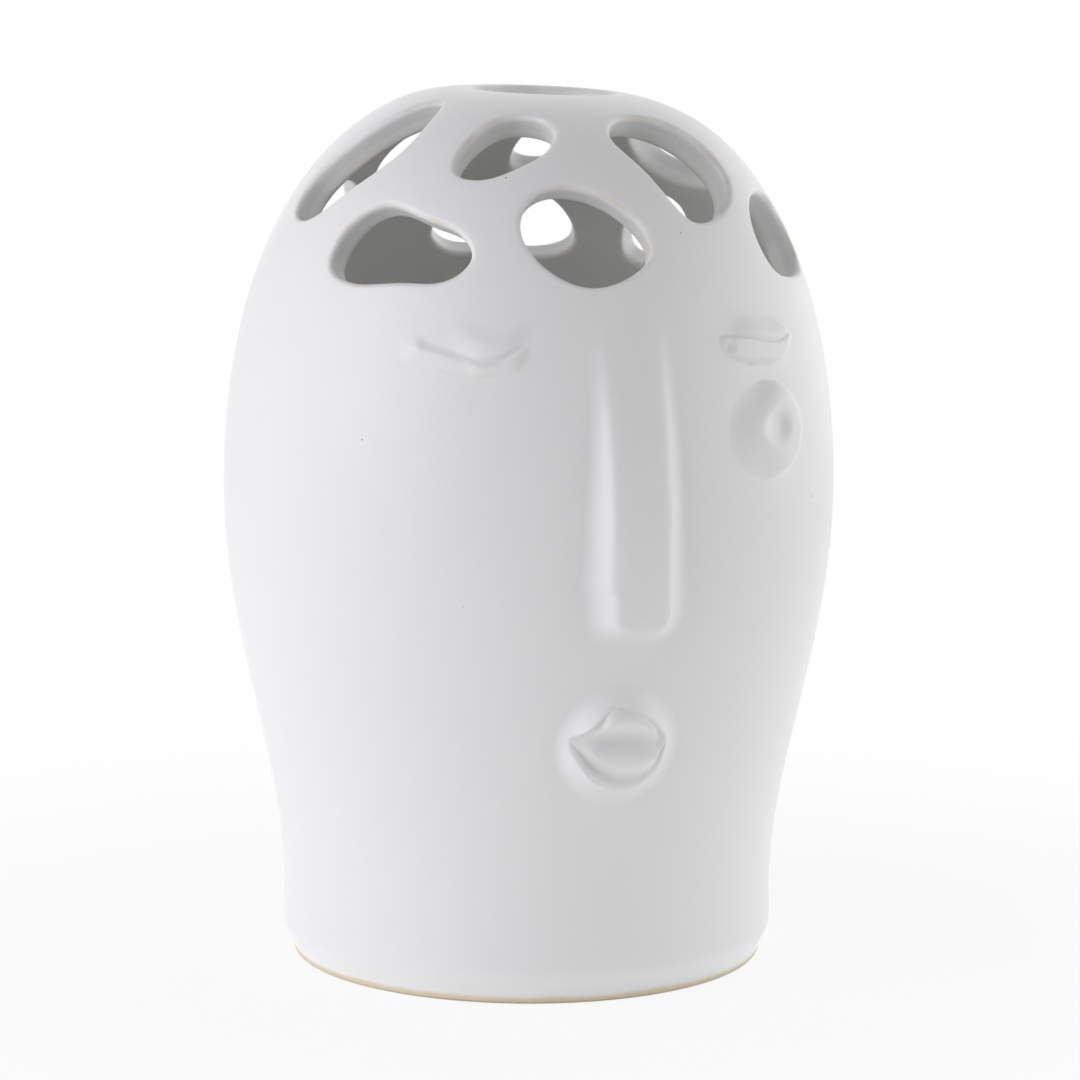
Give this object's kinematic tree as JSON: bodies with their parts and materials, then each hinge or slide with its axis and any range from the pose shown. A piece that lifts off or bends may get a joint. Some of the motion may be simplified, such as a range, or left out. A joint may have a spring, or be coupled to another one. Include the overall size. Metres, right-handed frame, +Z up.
{
  "type": "face vase",
  "caption": "Free-standing stoneware vase with a round belly, a pierced domed crown that holds stems apart, and a stylised face in low relief.",
  "frame": {"origin": "on the vessel's axis, in the plane that the foot ring stands on", "axes": "+Z up along the vessel's axis, -Y the way the face looks, +X to the right of someone facing it"},
  "size_m": [0.1408, 0.1434, 0.2005],
  "materials": {
    "white_glaze": "satin white glaze",
    "bare_stoneware": "bare, fine sanded"
  },
  "bodies": {
    "root": {"foot_ring": "bare_stoneware", "floor_slab": "white_glaze", "body_wall": "white_glaze", "crown": "white_glaze", "nose": "white_glaze", "left_eyelid": "white_glaze", "right_eyelid": "white_glaze", "right_eye": "white_glaze", "mouth_boss": "white_glaze", "upper_lip": "white_glaze", "lower_lip": "white_glaze"}
  },
  "joints": []
}
